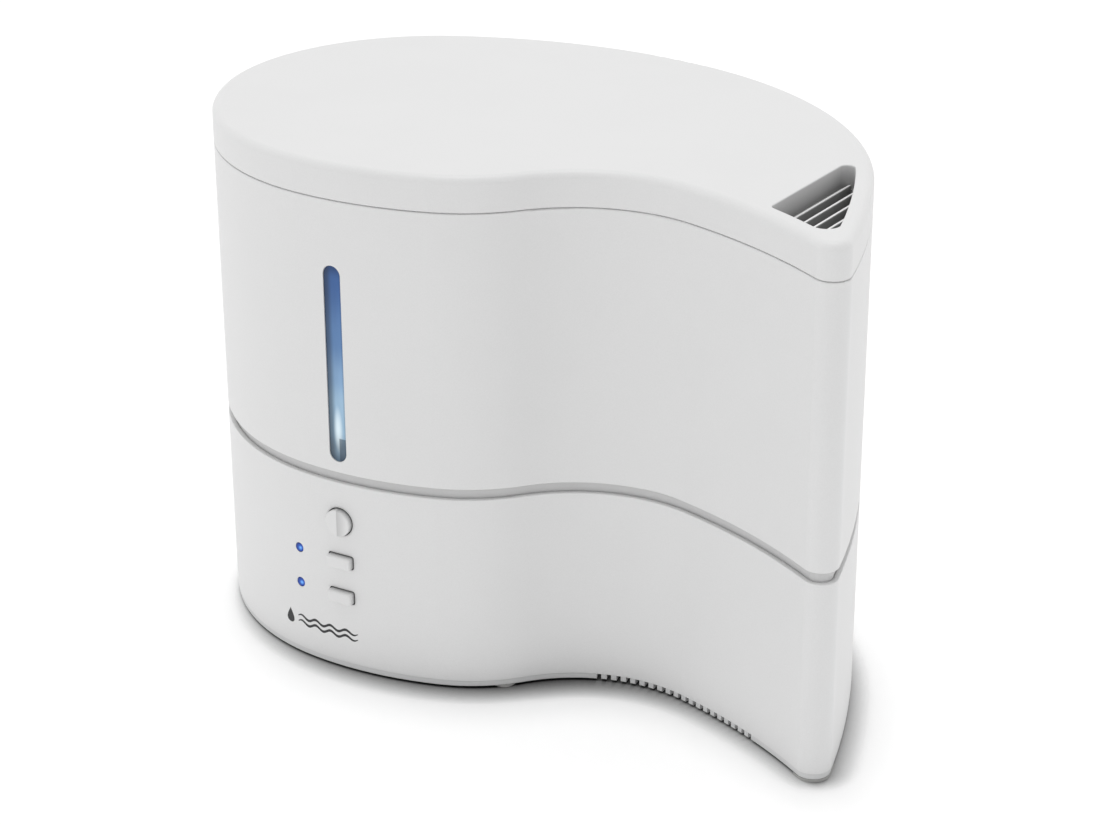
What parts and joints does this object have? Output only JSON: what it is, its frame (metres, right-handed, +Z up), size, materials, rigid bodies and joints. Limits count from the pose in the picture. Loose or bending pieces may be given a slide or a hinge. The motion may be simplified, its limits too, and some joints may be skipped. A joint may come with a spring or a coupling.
{
  "type": "cool mist humidifier",
  "caption": "Tear-drop ultrasonic humidifier: base with dial, buttons and indicators, lift-off tank with lit level window, lift-off lid with louvred mist outlet.",
  "frame": {"origin": "bottom centre of the bounding box, on the surface the feet stand on", "axes": "+Z up, +X from the round head to the tail, +Y to the back; controls and concave wall face -Y"},
  "size_m": [0.3484, 0.221, 0.25],
  "materials": {
    "shell": "fine-grained satin off-white ABS",
    "inner": "plain off-white moulding, light grey in shade",
    "control": "smooth satin off-white",
    "window": "clear polycarbonate, lit blue",
    "clear": "clear polycarbonate",
    "indicator": "blue diffusing lens",
    "duct": "plain light grey moulding",
    "rubber": "soft silicone seal",
    "foot_rubber": "light grey soft pad",
    "steel": "bright steel",
    "ceramic": "silvered ceramic disc",
    "aluminium": "extruded aluminium",
    "board": "green solder mask",
    "dark": "black moulded plastic",
    "lamination": "laminated core steel",
    "winding": "taped winding",
    "float_foam": "closed-cell float",
    "brass": "contact pins"
  },
  "bodies": {
    "base": {"base_housing": "shell", "bottom_plate": "inner", "feet": "foot_rubber", "case_screws": "steel", "water_tray": "inner", "float_post": "inner", "tank_lamp": "indicator", "transducer": "ceramic", "transducer_seal": "rubber", "transducer_holder": "dark", "driver_board": "board", "driver_parts": "dark", "heat_sink": "aluminium", "fan_frame": "dark", "fan_motor": "dark", "air_duct": "dark", "control_board": "board", "dial_body": "dark", "key_switches": "dark", "transformer_core": "lamination", "transformer_coil": "winding", "power_board": "board", "power_parts": "dark", "inlet_socket": "dark", "inlet_pins": "brass", "indicator_upper": "indicator", "indicator_lower": "indicator"},
    "tank": {"tank_shell": "shell", "window_lens": "window", "tank_top": "inner", "tank_bottom": "inner", "mist_duct": "duct", "light_lens": "clear"},
    "lid": {"lid": "shell", "outlet_grille": "shell"},
    "cap": {"tank_cap": "inner", "cap_seal": "rubber", "valve_spring": "steel"},
    "valve": {"valve_plunger": "inner", "valve_washer": "rubber"},
    "dial": {"knob": "control", "dial_shaft": "steel"},
    "button_upper": {"button_upper": "control"},
    "button_lower": {"button_lower": "control"},
    "fan": {"fan_rotor": "dark"},
    "float": {"float": "float_foam"}
  },
  "joints": [
    {"name": "tank_lift", "type": "slide", "parent": "base", "child": "tank", "axis": [0, 0, 1], "range_m": [0, 0.15]},
    {"name": "lid_lift", "type": "slide", "parent": "tank", "child": "lid", "axis": [0, 0, 1], "range_m": [0, 0.08]},
    {"name": "cap_turn", "type": "hinge", "parent": "tank", "child": "cap", "pos_m": [0.04, 0.008, 0.098], "axis": [0, 0, 1], "range_deg": [0, 60]},
    {"name": "valve_drop", "type": "slide", "parent": "cap", "child": "valve", "axis": [0, 0, 1], "range_m": [-0.004, 0], "deforming": ["valve_spring"]},
    {"name": "dial_turn", "type": "hinge", "parent": "base", "child": "dial", "pos_m": [-0.0655, -0.10744, 0.0771], "axis": [-0.0732, -0.9973, 0], "range_deg": [-135, 135]},
    {"name": "button_upper_press", "type": "slide", "parent": "base", "child": "button_upper", "axis": [0.0732, 0.9973, 0], "range_m": [0, 0.001], "stiffness_N_per_m": 800},
    {"name": "button_lower_press", "type": "slide", "parent": "base", "child": "button_lower", "axis": [0.0732, 0.9973, 0], "range_m": [0, 0.001], "stiffness_N_per_m": 800},
    {"name": "fan_spin", "type": "hinge", "parent": "base", "child": "fan", "pos_m": [0.088, 0.005, 0.022], "axis": [0, 0, 1], "continuous": true},
    {"name": "float_rise", "type": "slide", "parent": "base", "child": "float", "axis": [0, 0, 1], "range_m": [0, 0.0175]}
  ],
  "couplings": [
    {"joint": "valve_drop", "follows": "tank_lift", "ratio": -0.026667}
  ]
}
